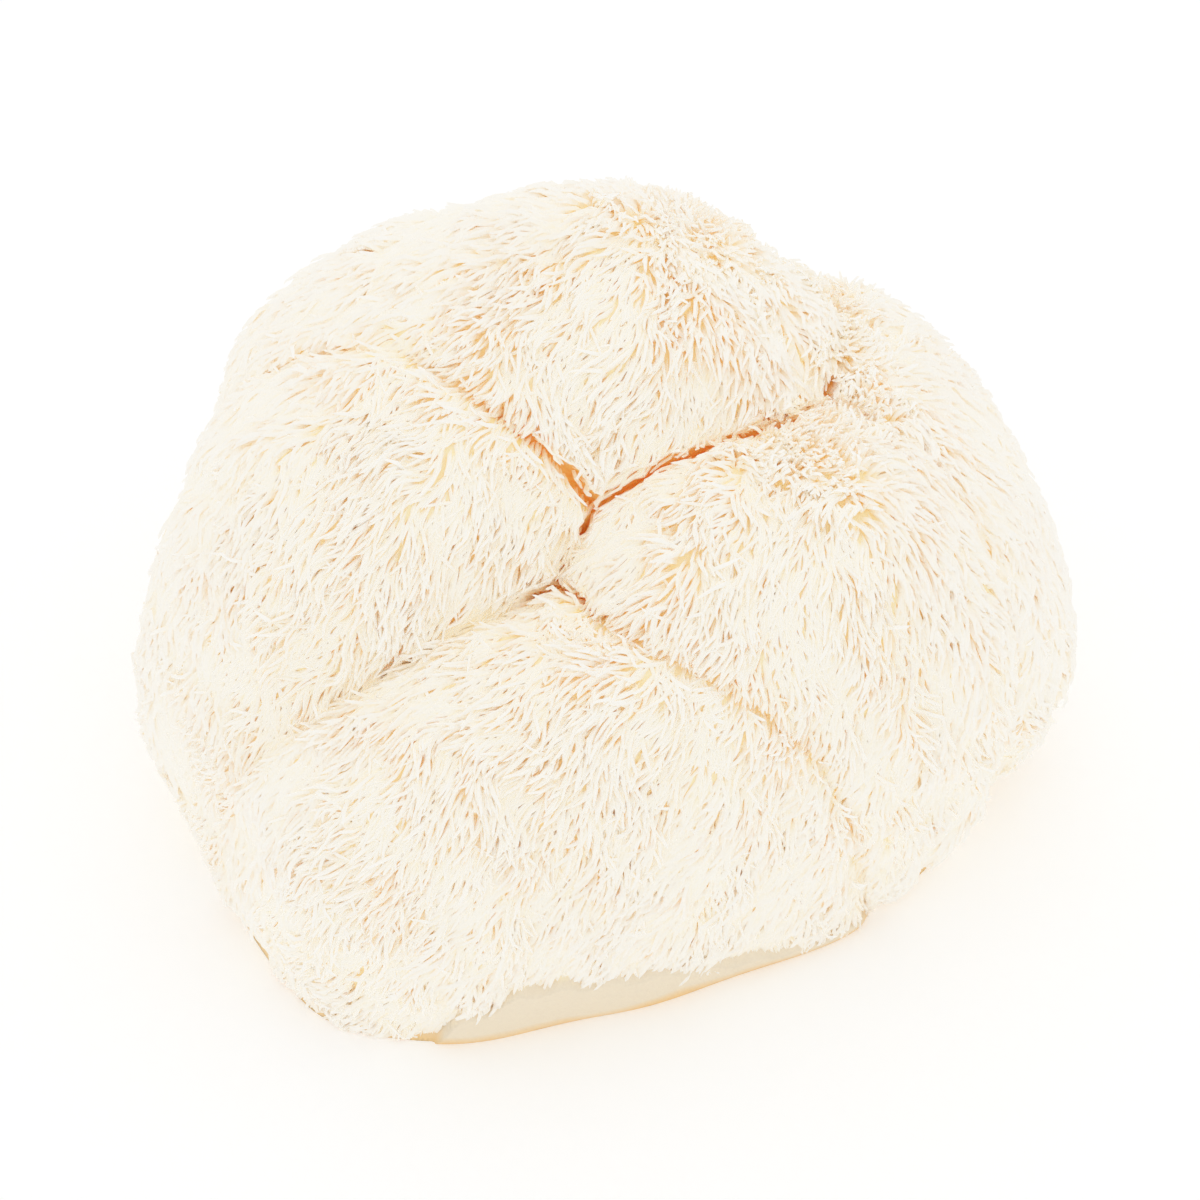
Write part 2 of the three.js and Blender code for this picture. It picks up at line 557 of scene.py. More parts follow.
@dataclass(frozen=True)
class FleshFinish:
    """Smooth flesh: painted orange-tan shade deep in the coat and deeper in the clefts, beige where
    the cut rim is bare, with painted shade along the rim's foot.

    Attributes:
        deep: Painted shade of the flesh under the spines, where it shows between them.
        tan: Paler colour that this painted shade clouds towards, also mixed into the bare rim's
            grain.
        cleft: Deeper painted shade inside the clefts.
        rim: Colour of the bare cut rim.
        contact_shade: Painted shade along the rim's lower edge, where it meets the floor.
        rim_top: Height in metres above which the flesh lies under spines.
        contact_shade_top: Height in metres that this painted shade reaches.
        cloud: Size in metres of the clouds of colour.
        grain: Size in metres of the fine grain.
        patch: Size in metres of the patches that the painted shade's upper edge follows.
        patch_height: How far in metres that edge moves.
        bump_height: Height in metres of the grain.
    """

    # deep, tan and cleft are painted shade; tan also tints the rim's grain.
    deep: Colour = (1.0, 0.86, 0.50)
    tan: Colour = (1.0, 0.92, 0.70)
    cleft: Colour = (1.0, 0.79, 0.33)
    rim: Colour = (0.88, 0.77, 0.61)
    # Painted shade where the rim meets the floor.
    contact_shade: Colour = (0.92, 0.66, 0.34)
    rim_top: float = 0.013
    contact_shade_top: float = 0.0022
    cloud: float = 0.006
    grain: float = 0.0007
    patch: float = 0.014
    patch_height: float = 0.004
    bump_height: float = 0.0006

    def material(self) -> bpy.types.Material:
        """Return the flesh's material."""
        tree = Tree("mushroom_flesh")
        place = tree.place()
        _, _, height = tree.parts(place)
        clouds = tree.noise(place, self.cloud, 4.0)
        grain = tree.noise(place, self.grain, 3.0)
        patch = tree.noise(place, self.patch, 2.0)
        # Painted shade on the flesh under the spines, deeper where the cleft mask is high.
        under = tree.mix(clouds, self.deep, self.tan)
        inside = tree.node("ShaderNodeAttribute", {"attribute_name": Flesh.CLEFT}, out="Fac")
        under = tree.mix(inside, under, self.cleft)
        # Painted shade along the rim's foot, fading upwards with a ragged edge.
        ragged = height + (patch - 0.5) * self.patch_height
        contact_shaded = (1.0 - ragged * (1.0 / self.contact_shade_top)).clamped()
        rim = tree.mix(contact_shaded, tree.mix(grain * 0.35, self.rim, self.tan), self.contact_shade)
        bare = ((self.rim_top - height) * 900.0).clamped()
        tree.set("Base Color", tree.mix(bare, under, rim))
        tree.set("Roughness", (grain * 0.25 + 0.62).clamped())
        tree.set("Specular IOR Level", 0.3)
        bump = tree.node("ShaderNodeBump", {}, 0.35, self.bump_height, None, grain)
        tree.set("Normal", bump)
        return tree.material


@dataclass(frozen=True)
class SpineFinish:
    """Waxy cream spines, with painted tan shade at the root that fades to cream a third of the way
    up.

    The coat's map carries a spine's own tone across and how much painted light it has
    upwards, less where painted shade falls, so the colour depends on nothing else.

    Attributes:
        root: Painted shade at the root, deep in the coat.
        neck: Lighter painted shade just above it.
        body: Colour of the middle.
        tip: Colour of the tip.
        warm: Tone that some spines lean to.
        cool: Tone that others lean to.
    """

    # root and neck are painted shade deep in the coat; body and tip are the spines' own cream.
    root: Colour = (1.0, 0.925, 0.69)
    neck: Colour = (1.0, 0.96, 0.845)
    body: Colour = (1.0, 0.979, 0.925)
    tip: Colour = (1.0, 0.984, 0.945)
    warm: Colour = (1.0, 0.97, 0.89)
    cool: Colour = (0.995, 0.982, 0.945)

    def material(self) -> bpy.types.Material:
        """Return the spines' material."""
        tree = Tree("mushroom_spines")
        chart = tree.node("ShaderNodeUVMap", {"uv_map": Coat.CHART})
        # The map's upward number is painted light: low at the root and where painted shade falls.
        tone, pale, _ = tree.parts(chart)
        length = tree.node(
            "ShaderNodeValToRGB",
            {
                "stops": (
                    (0.0, self.root),
                    (0.22, self.neck),
                    (0.5, self.body),
                    (1.0, self.tip),
                )
            },
            pale,
        )
        warmed = tree.mix((0.5 - tone).clamped() * 0.7, length, self.warm)
        cooled = tree.mix((tone - 0.5).clamped() * 0.7, warmed, self.cool)
        tree.set("Base Color", cooled)
        tree.set("Roughness", (0.72 - tone * 0.16).clamped())
        tree.set("Specular IOR Level", 0.2)
        return tree.material


# ------------------------------------------------------------------ the flesh
@dataclass
class Flesh:
    """The solid flesh under the spines.

    Attributes:
        cluster: The lobes and their place.
        fineness: Subdivisions of the starting ball.
        cleft_width: Half width in mm of a cleft's mouth.
        cleft_floor: Half width in mm of its floor.
        cleft_cut: Share of a cleft's depth that is cut in the flesh.
        fine_reach: Distance in mm from a cleft's seam that has the smallest facets.
    """

    # Attribute holding how much of the clefts' painted shade each point gets.
    CLEFT = "cleft"

    cluster: Cluster
    fineness: int = 7
    cleft_width: float = 1.5
    cleft_floor: float = 0.4
    cleft_cut: float = 0.4
    fine_reach: float = 3.5

    def _places(self, headings: Array) -> tuple[Array, Array]:
        """Return where the flesh's surface is.

        Args:
            headings: Directions from the heart, one a row.

        Returns:
            One point a row in mm, and how much each lies in a cleft, which sets how much of the
            clefts' painted shade it gets.
        """
        cluster, bare_inset = self.cluster, 0.2
        inner = cluster.surface(headings, cluster.coat_depth)
        outer = cluster.surface(headings, bare_inset)
        near = cluster.near(inner, cluster.coat_depth)
        room, _ = near.seam(near.gaps.argmin(axis=1))
        depth, _ = cluster.cleft(inner)
        cut = smooth_step(self.cleft_width, self.cleft_floor, room)
        inner = inner - headings * cut * depth * self.cleft_cut
        # Mask of the clefts' painted shade.
        inside = smooth_step(2.2 * self.cleft_width, self.cleft_width, room)
        inside = inside * smooth_step(0.5, 4.0, depth)
        return inner + (outer - inner) * cluster.bare(outer), inside

    def _ball(self) -> bmesh.types.BMesh:
        """Return a ball of small facets, smaller still at the clefts and the bare rim."""
        ball = bmesh.new()
        bmesh.ops.create_icosphere(ball, subdivisions=self.fineness, radius=1.0)
        headings = np.array([vert.co for vert in ball.verts])
        outer = self.cluster.surface(headings, 0.0)
        depth, _ = self.cluster.cleft(outer)
        near = self.cluster.near(outer, 0.0)
        room, _ = near.seam(near.gaps.argmin(axis=1))
        fine = (depth > 0.5) & (room < self.fine_reach)
        fine |= (self.cluster.bare(outer - (0.0, 0.0, 1.5)) > 0.0) & (outer[:, 2:3] > -3.0)
        ball.verts.ensure_lookup_table()
        edges = [
            edge for edge in ball.edges if all(fine[vert.index, 0] for vert in edge.verts)
        ]
        bmesh.ops.subdivide_edges(ball, edges=edges, cuts=2, use_grid_fill=True)
        bmesh.ops.triangulate(ball, faces=[face for face in ball.faces if len(face.verts) > 4])
        return ball

    def build(self) -> bpy.types.Object:
        """Return the flesh as one closed piece with a flat base."""
        ball = self._ball()
        headings = unit(np.array([vert.co for vert in ball.verts]))
        places, inside = self._places(headings)
        # Store the mask of the clefts' painted shade on every point.
        layer = ball.verts.layers.float.new(self.CLEFT)
        for vert, place, share in zip(ball.verts, self.cluster.to_metres(places), inside[:, 0]):
            vert.co = place
            vert[layer] = share
        self._flatten(ball)
        mesh = bpy.data.meshes.new("flesh")
        ball.to_mesh(mesh)
        ball.free()
        piece = bpy.data.objects.new("flesh", mesh)
        bpy.context.scene.collection.objects.link(piece)
        mesh.materials.append(FleshFinish().material())
        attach(piece, BODY)
        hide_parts(NODE)
        return piece

    @staticmethod
    def _flatten(ball: bmesh.types.BMesh) -> None:
        """Cut the ball flat at the base and close the cut."""
        cut = bmesh.ops.bisect_plane(
            ball,
            geom=[*ball.verts, *ball.edges, *ball.faces],
            dist=1e-6,
            plane_co=(0.0, 0.0, 0.0),
            plane_no=(0.0, 0.0, 1.0),
            clear_inner=True,
        )
        edges = [item for item in cut["geom_cut"] if isinstance(item, bmesh.types.BMEdge)]
        bmesh.ops.holes_fill(ball, edges=edges, sides=0)
        bmesh.ops.recalc_face_normals(ball, faces=ball.faces)
        for face in ball.faces:
            face.smooth = abs(face.normal.z) < 0.999 or face.calc_center_median().z > MM


# ------------------------------------------------------------------ the spines
@dataclass(frozen=True)
class Spine:
    """The pattern that every spine is bent from: a three-sided finger, one unit long.

    Attributes:
        sides: Sides round the finger.
        stations: Places of its rings along it.
        girths: Width of each ring beside the widest.
    """

    sides: int = 3
    stations: Sequence[float] = (0.0, 0.3, 0.62, 0.9)
    girths: Sequence[float] = (0.95, 1.0, 0.9, 0.58)

    def pattern(self) -> tuple[Array, list[list[int]]]:
        """Build the finger.

        Returns:
            Its points, width across and station along, and its faces.
        """
        finger = bmesh.new()
        bmesh.ops.create_circle(finger, cap_ends=True, segments=self.sides, radius=self.girths[0])
        bmesh.ops.reverse_faces(finger, faces=finger.faces)
        edges = list(finger.edges)
        for before, (station, girth) in enumerate(zip(self.stations[1:], self.girths[1:])):
            ring, edges = self._ring(finger, edges)
            rise = station - self.stations[before]
            bmesh.ops.translate(finger, verts=ring, vec=(0.0, 0.0, rise))
            factor = girth / self.girths[before]
            bmesh.ops.scale(finger, verts=ring, vec=(factor, factor, 1.0))
        ring, _ = self._ring(finger, edges)
        bmesh.ops.pointmerge(finger, verts=ring, merge_co=(0.0, 0.0, 1.0))
        bmesh.ops.recalc_face_normals(finger, faces=finger.faces)
        finger.verts.index_update()
        points = np.array([vert.co for vert in finger.verts])
        faces = [[vert.index for vert in face.verts] for face in finger.faces]
        finger.free()
        return points, faces

    @staticmethod
    def _ring(
        finger: bmesh.types.BMesh, edges: list[bmesh.types.BMEdge]
    ) -> tuple[list[bmesh.types.BMVert], list[bmesh.types.BMEdge]]:
        """Pull a new ring out of the last one.

        Args:
            finger: The finger so far.
            edges: Edges of its last ring.

        Returns:
            The new ring's corners and edges.
        """
        made = bmesh.ops.extrude_edge_only(finger, edges=edges)["geom"]
        corners = [item for item in made if isinstance(item, bmesh.types.BMVert)]
        return corners, [item for item in made if isinstance(item, bmesh.types.BMEdge)]


@dataclass(frozen=True)
class Habit:
    """How the spines grow. Pairs are the least and the most of a range.

    Attributes:
        sunk: Depth in mm of a root below the flesh's surface.
        rise: How steeply a spine leaves the flesh, and how much more on a crown.
        lean: How much it leans at first the way it will hang.
        scatter: How much each one leaves in a way of its own.
        stray: How much of that way it keeps as it grows.
        curl: How much it curls at each step, and how much more on a crown.
        wild: Share of the spines that curl hard.
        wild_curl: How many times harder those curl.
        lengths: Length beside a common spine.
        crown_short: Share of the length that is missing on a crown.
        girths: Thickness beside a common spine.
        flights: Greatest height over the flesh, as a share of the coat's depth.
        crown_flight: Height in mm that a crown adds.
        free: Share of the spines that may cross a cleft's mouth.
        lift: Outward push as it grows, and how much more on a crown.
        turning: How fast it turns to where it aims.
        wander: How much it follows the slow, the quick and the tiny drift.
        clearance: Least height in mm over the flesh at the root, and what the tip adds.
        overhang: Distance in mm that the tip may reach past a seam.
        crest: How much like a crown the edge of a lobe is.
        crest_reach: Distances in mm from a seam where a crest begins and is full.
        crown_slope: Pull along the surface at which a crown begins and is full.
    """

    sunk: float = 0.35
    rise: tuple[float, float] = (0.8, 0.8)
    lean: float = 0.6
    scatter: float = 0.2
    stray: float = 0.07
    curl: tuple[float, float] = (0.13, 0.3)
    wild: float = 0.06
    wild_curl: float = 3.0
    lengths: tuple[float, float] = (0.75, 1.25)
    crown_short: float = 0.35
    girths: tuple[float, float] = (0.8, 1.18)
    flights: tuple[float, float] = (0.45, 1.0)
    crown_flight: float = 0.5
    free: float = 0.08
    lift: tuple[float, float] = (0.04, 0.6)
    turning: float = 0.42
    wander: tuple[float, float, float] = (0.2, 0.17, 0.08)
    clearance: tuple[float, float] = (0.15, 0.25)
    overhang: tuple[float, float] = (0.1, 1.8)
    crest: float = 0.6
    crest_reach: tuple[float, float] = (5.5, 1.5)
    crown_slope: tuple[float, float] = (0.55, 0.12)


@dataclass(frozen=True)
class Sprouts:
    """The spines as they leave the flesh, one row for each.

    Attributes:
        owner: The lobe that each belongs to.
        crown: How much each stands on a crown or a crest.
        own: A direction of its own.
        heading: Direction that it leaves in.
        side: Direction across it, along the surface.
        curl: How much it curls at each step.
        stride: Length in mm of each step.
        top: Greatest height in mm over the flesh.
        bound: 1 where it keeps to its own side of a cleft, 0 where it may cross.
        droops: Direction each lobe's spines would hang in, spines by lobes by 3.
    """

    owner: Array
    crown: Array
    own: Array
    heading: Array
    side: Array
    curl: Array
    stride: Array
    top: Array
    bound: Array
    droops: Array


@dataclass
class Coat:
    """The coat of spines over the whole cluster.

    Attributes:
        cluster: The lobes and their place.
        habit: How the spines grow.
        spacing: Least distance in mm between two roots.
        length: Length in mm of a common spine.
        girth: Half thickness in mm of a common spine.
        steps: Steps that a spine is grown in.
        seed: Seed of everything left to chance.
        most: Most triangles in a piece.
        lowest: Height in mm that everything but a root's end stays above.
        lips: How the lips of the clefts wander.
        drifts: The slow, the quick and the tiny field that spines wander with.
    """

    CHART = "OFBake"

    cluster: Cluster
    habit: Habit = Habit()
    spacing: float = 0.54
    length: float = 5.7
    girth: float = 0.36
    steps: int = 8
    seed: int = 100
    most: int = 180000
    lowest: float = 0.45
    lips: Drift = field(default_factory=lambda: Drift(3.0, 14))
    drifts: Sequence[Drift] = field(
        default_factory=lambda: (Drift(16.0, 11), Drift(5.5, 12), Drift(2.6, 13))
    )

    def _near(self, points: Array) -> Nearby:
        """Return what the cluster is like near some points, heights being over the flesh."""
        return self.cluster.near(points, self.cluster.coat_depth)

    @staticmethod
    def _droops(points: Array) -> Array:
        """Return the direction each lobe's spines would hang in, points by lobes by 3."""
        return np.stack([lobe.droop(points) for lobe in LOBES], axis=1)

    @staticmethod
    def _pull(near: Nearby, droops: Array) -> Array:
        """Return the way that spines are drawn along the surface.

        Args:
            near: What the cluster is like at each.
            droops: Direction each lobe's spines would hang in, points by lobes by 3.

        Returns:
            One vector a row, short where the surface faces that way.
        """
        hang = unit((droops * near.shares[:, :, None] ** 2).sum(axis=1))
        return hang - dot(hang, near.out) * near.out

    def _scatter(self, flesh: bpy.types.Object, chance: np.random.Generator) -> Array:
        """Scatter points over the flesh, many more than there will be roots.

        Args:
            flesh: The flesh, whose faces they are scattered over.
            chance: The source of chance.

        Returns:
            Their places in mm.
        """
        crowding, foot = 5.0, 0.9
        body = bmesh.new()
        body.from_mesh(flesh.data)
        bmesh.ops.triangulate(body, faces=body.faces)
        corners = np.array([[vert.co for vert in face.verts] for face in body.faces])
        areas = np.array([face.calc_area() for face in body.faces])
        body.free()
        tries = int(areas.sum() / (self.spacing * MM) ** 2 * crowding)
        chosen = chance.choice(len(areas), size=tries, p=areas / areas.sum())
        parts = chance.dirichlet((1.0, 1.0, 1.0), size=tries)[:, :, None]
        points = (corners[chosen] * parts).sum(axis=1) / MM - self.cluster.shift
        return points[points[:, 2] > foot]

    def _roots(self, flesh: bpy.types.Object) -> Array:
        """Choose the roots: even over the flesh, doubled on the crowns.

        Args:
            flesh: The flesh that they stand on.

        Returns:
            Their places in mm.
        """
        raggedness, crown_pull = 0.3, 0.5
        chance = np.random.default_rng(self.seed)
        points = self._scatter(flesh, chance)
        near = self._near(points)
        room, _ = near.seam(near.gaps.argmin(axis=1))
        _, mouth = self.cluster.cleft(points)
        keep = room[:, 0] > mouth[:, 0] + raggedness * self.lips.at(points)[:, 0]
        lying = points + near.out * self.cluster.coat_depth
        keep &= self.cluster.bare(lying)[:, 0] < chance.uniform(0.05, 0.95, size=len(points))
        points = (points - near.out * near.height)[keep]
        half = len(points) // 2
        pull = np.linalg.norm(self._pull(self._near(points), self._droops(points)), axis=1)
        crowns = points[half:][pull[half:] < crown_pull]
        return np.concatenate([self._thin(points[:half]), self._thin(crowns)])

    def _thin(self, points: Array) -> Array:
        """Return the points with those that crowd others dropped."""
        tree = kdtree.KDTree(len(points))
        for index, place in enumerate(points):
            tree.insert(place, index)
        tree.balance()
        alive = np.ones(len(points), bool)
        chosen = []
        for index in range(len(points)):
            if not alive[index]:
                continue
            chosen.append(index)
            alive[[found[1] for found in tree.find_range(points[index], self.spacing)]] = False
        return points[chosen]

    def _crown(self, near: Nearby, owner: Array, pull: Array) -> Array:
        """Measure how much each root stands on a crown or on the crest beside a seam.

        Args:
            near: What the cluster is like at each.
            owner: The lobe that each belongs to.
            pull: The way each is drawn along the surface.

        Returns:
            One share a row, as a column.
        """
        habit = self.habit
        room, back = near.seam(owner)
        crest = smooth_step(*habit.crest_reach, room) * np.clip(dot(unit(pull), back), 0.0, 1.0)
        level = np.linalg.norm(pull, axis=1, keepdims=True)
        return np.maximum(smooth_step(*habit.crown_slope, level), habit.crest * crest)

    def _sprout(self, roots: Array, near: Nearby, chance: np.random.Generator) -> Sprouts:
        """Set out every spine at its root.

        Args:
            roots: Places in mm.
            near: What the cluster is like at each.
            chance: The source of chance.

        Returns:
            The spines as they leave the flesh.
        """
        habit, column = self.habit, (len(roots), 1)
        owner = near.gaps.argmin(axis=1)
        droops = self._droops(roots)
        pull = self._pull(near, droops)
        crown = self._crown(near, owner, pull)
        own = chance.normal(size=(len(roots), 3))
        steep = habit.rise[0] + habit.rise[1] * crown
        heading = unit(near.out * steep + unit(pull) * habit.lean + own * habit.scatter)
        side = unit(np.cross(near.out, unit(pull + own * 0.05)))
        curl = chance.normal(size=column) * (habit.curl[0] + habit.curl[1] * crown)
        wild = chance.uniform(size=column) < habit.wild
        curl = np.where(wild, curl * habit.wild_curl, curl)
        length = self.length * chance.uniform(*habit.lengths, size=column)
        length = length * (1.0 - habit.crown_short * crown)
        top = chance.uniform(*habit.flights, size=column) * self.cluster.coat_depth
        top = top + 0.1 + crown * habit.crown_flight
        bound = np.where(chance.uniform(size=column) < habit.free, 0.0, 1.0)
        stride = length / self.steps
        return Sprouts(owner, crown, own, heading, side, curl, stride, top, bound, droops)

    def _grow(self, roots: Array) -> tuple[Array, Array, Array, Array]:
        """Grow every spine from its root.

        Args:
            roots: Places in mm.

        Returns:
            Paths as spines by steps by 3 in mm, half thicknesses, sideways directions and
            the lobe each belongs to.
        """
        chance = np.random.default_rng(self.seed + 50)
        near = self._near(roots)
        sprouts = self._sprout(roots, near, chance)
        place, heading = roots - near.out * self.habit.sunk, sprouts.heading
        path = [place]
        for step in range(self.steps):
            place, heading = self._step(sprouts, place, heading, step)
            path.append(place)
        girth = self.girth * chance.uniform(*self.habit.girths, size=(len(roots), 1))
        path = self._trimmed(np.stack(path, axis=1), sprouts.owner)
        return path, girth, sprouts.side, sprouts.owner

    def _step(
        self, sprouts: Sprouts, place: Array, heading: Array, step: int
    ) -> tuple[Array, Array]:
        """Grow every spine by one step.

        Args:
            sprouts: The spines as they left the flesh.
            place: Where their ends are, in mm.
            heading: Where they head.
            step: Number of the step, from 0.

        Returns:
            Where their ends are next and where they head then.
        """
        habit = self.habit
        near = self._near(place)
        pull = self._pull(near, sprouts.droops)
        slow, quick, tiny = (
            drift.at(place) * much for drift, much in zip(self.drifts, habit.wander)
        )
        outward = near.out * (habit.lift[0] + habit.lift[1] * sprouts.crown)
        aim = unit(pull + (slow + quick + tiny) + sprouts.own * habit.stray + outward)
        heading = unit(heading + (aim - heading) * habit.turning)
        heading = unit(heading + np.cross(near.out, heading) * sprouts.curl)
        place = place + heading * sprouts.stride
        near = self._near(place)
        low = habit.clearance[0] + habit.clearance[1] * ((step + 1) / self.steps)
        held = np.clip(near.height, low, np.maximum(sprouts.top, low + 0.1))
        place = place + near.out * (held - near.height) * (1.0 if step else 0.5)
        return self._kept_clear(place, sprouts.owner, sprouts.bound), heading

    def _kept_clear(self, place: Array, owner: Array, bound: Array) -> Array:
        """Push points back from the mouths of the clefts and up off the floor.

        Args:
            place: Points in mm.
            owner: The lobe that each belongs to.
            bound: How far each spine keeps to its own side.

        Returns:
            The points where they may be.
        """
        raggedness, farthest, least_mouth = 0.25, 1.5, 0.2
        room, back = self._near(place).seam(owner)
        _, mouth = self.cluster.cleft(place)
        ragged = raggedness * self.lips.at(place)[:, :1]
        short = np.clip(mouth * bound + ragged - room, 0.0, farthest) * (mouth > least_mouth)
        place = place + back * short
        place[:, 2] = np.maximum(place[:, 2], self.lowest)
        return place

    def _trimmed(self, path: Array, owner: Array) -> Array:
        """Shorten the spines that would cross a seam so that they end just past it.

        Args:
            path: Paths in mm.
            owner: The lobe that each belongs to.

        Returns:
            The paths, with as many points as before.
        """
        chance = np.random.default_rng(self.seed + 70)
        overhang = chance.uniform(*self.habit.overhang, size=len(path))
        last = np.full(len(path), float(self.steps))
        for step in range(self.steps, 2, -1):
            room, _ = self._near(path[:, step]).seam(owner)
            past = (room[:, 0] < -overhang) & (owner < FILLERS)
            last = np.where(past, step - 0.5, last)
        reach = np.arange(self.steps + 1)[None, :] * last[:, None] / self.steps
        before = np.minimum(reach.astype(int), self.steps - 1)
        share = (reach - before)[:, :, None]
        rows = np.arange(len(path))[:, None]
        return path[rows, before] * (1.0 - share) + path[rows, before + 1] * share

    def _sweep(self, path: Array, girth: Array, side: Array) -> tuple[Array, Array, list[list[int]]]:
        """Bend the pattern along every path.

        Args:
            path: Paths in mm.
            girth: Half thicknesses in mm.
            side: Sideways direction of each spine.

        Returns:
            Points as spines by corners by 3, the pattern's points and its faces.
        """
        pattern, faces = Spine().pattern()
        reach = pattern[:, 2] * self.steps
        before = np.minimum(reach.astype(int), self.steps - 1)
        share = (reach - before)[None, :, None]
        middle = path[:, before] * (1.0 - share) + path[:, before + 1] * share
        slope = np.gradient(path, axis=1)
        along = unit(slope[:, before] * (1.0 - share) + slope[:, before + 1] * share)
        across = side[:, None, :] - dot(side[:, None, :], along) * along
        across = unit(across)
        up = np.cross(along, across)
        width = girth[:, None, :]
        points = middle + across * (pattern[None, :, 0:1] * width)
        points = points + up * (pattern[None, :, 1:2] * width)
        return points, pattern, faces

    @staticmethod
    def _unrolled(pattern: Array, faces: list[list[int]]) -> tuple[Array, Array]:
        """Unroll the pattern's faces.

        Args:
            pattern: The pattern's points.
            faces: The pattern's faces.

        Returns:
            The turn round the finger and the place along it of every corner of every face.
        """
        turn = (np.arctan2(pattern[:, 1], pattern[:, 0]) / (2.0 * math.pi)) % 1.0
        across, up = [], []
        for face in faces:
            turns = [turn[corner] for corner in face]
            wraps = max(turns) - min(turns) > 0.5
            for corner, value in zip(face, turns):
                across.append(value + 1.0 if wraps and value < 0.25 else value)
                up.append(pattern[corner, 2] + 0.02 * (pattern[corner, 0] if len(face) > 3 else 0))
        return np.array(across), np.array(up)

    def _chart(self, pattern: Array, faces: list[list[int]], roots: Array) -> Array:
        """Lay out the map: tone across, painted light up, with painted shade by the clefts and
        seams.

        Args:
            pattern: The pattern's points.
            faces: The pattern's faces.
            roots: Places in mm of the roots.

        Returns:
            One pair for every corner of every face.
        """
        # Painted shade by clefts and seams, most where spines run into a seam under the next lobe's
        # crest.
        cleft_shade, seam_shade, arriving_shade, shade_reach = 0.1, 0.15, 0.5, (4.5, 0.5)
        chance = np.random.default_rng(self.seed + 90)
        across, up = self._unrolled(pattern, faces)
        tone = chance.beta(2.2, 2.2, size=(len(roots), 1)) * 0.9
        near = self._near(roots)
        room, back = near.seam(near.gaps.argmin(axis=1))
        arrives = np.clip(-dot(unit(self._pull(near, self._droops(roots))), back), 0.0, 1.0)
        # Painted shade: spines by a cleft or a seam get less painted light.
        pale = 1.0 - cleft_shade * smooth_step(0.0, 9.0, self.cluster.cleft(roots)[0])
        pale = pale - (seam_shade + arriving_shade * arrives) * smooth_step(*shade_reach, room)
        pale = pale * chance.uniform(0.88, 1.0, size=(len(roots), 1))
        u = tone + across[None, :] * 0.08
        v = np.clip(up[None, :], 0.0, 1.0) ** 0.75 * pale
        return np.stack([u, v], axis=-1)

    def build(self, flesh: bpy.types.Object) -> list[bpy.types.Object]:
        """Return the coat's pieces.

        Args:
            flesh: The flesh that the coat grows on.

        Returns:
            One piece for every lobe, or more where there are many spines.
        """
        roots = self._roots(flesh)
        path, girth, side, owner = self._grow(roots)
        points, pattern, faces = self._sweep(path, girth, side)
        chart = self._chart(pattern, faces, roots)
        triangles = sum(len(face) - 2 for face in faces)
        finish = SpineFinish().material()
        pieces = []
        for index, lobe in enumerate(LOBES):
            mine = np.flatnonzero(owner == index)
            mine = mine[np.argsort(roots[mine, 2], kind="stable")]
            shares = math.ceil(len(mine) * triangles / self.most)
            for number in range(shares):
                chosen = np.array_split(mine, shares)[number]
                name = f"spines_{lobe.name}_{number + 1}"
                piece = self._piece(name, points[chosen], faces, chart[chosen])
                piece.data.materials.append(finish)
                pieces.append(piece)
        return pieces

    def _piece(
        self, name: str, points: Array, faces: list[list[int]], chart: Array
    ) -> bpy.types.Object:
        """Make one piece of the coat.

        Args:
            name: The piece's name.
            points: Points in mm, spines by corners by 3.
            faces: The pattern's faces.
            chart: The map's pairs.

        Returns:
            The piece.
        """
        count, corners = points.shape[:2]
        flat = np.concatenate([np.array(face) for face in faces])
        sizes = np.array([len(face) for face in faces])
        loops = (flat[None, :] + np.arange(count)[:, None] * corners).ravel()
        totals = np.tile(sizes, count)
        starts = np.concatenate([[0], np.cumsum(totals)[:-1]])
        mesh = bpy.data.meshes.new(name)
        mesh.vertices.add(count * corners)
        places = self.cluster.to_metres(points.reshape(-1, 3))
        mesh.vertices.foreach_set("co", places.astype(np.float32).ravel())
        mesh.loops.add(len(loops))
        mesh.loops.foreach_set("vertex_index", loops.astype(np.int32))
        mesh.polygons.add(len(totals))
        mesh.polygons.foreach_set("loop_start", starts.astype(np.int32))
        mesh.update(calc_edges=True)
        mesh.shade_flat()
        layer = mesh.uv_layers.new(name=self.CHART)
        layer.uv.foreach_set("vector", chart.reshape(-1, 2).astype(np.float32).ravel())
        piece = bpy.data.objects.new(name, mesh)
        bpy.context.scene.collection.objects.link(piece)
        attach(piece, BODY)
        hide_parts(NODE)
        return piece


# ------------------------------------------------------------------ the studio
class SoftBox(Enum):
    """A soft box: degrees round from the front and up from the floor, side in m, watts."""

    BACK = (180.0, 68.0, 1.2, 0.9)
    LEFT = (-70.0, 40.0, 1.0, 0.25)
    RIGHT = (75.0, 40.0, 1.0, 0.2)


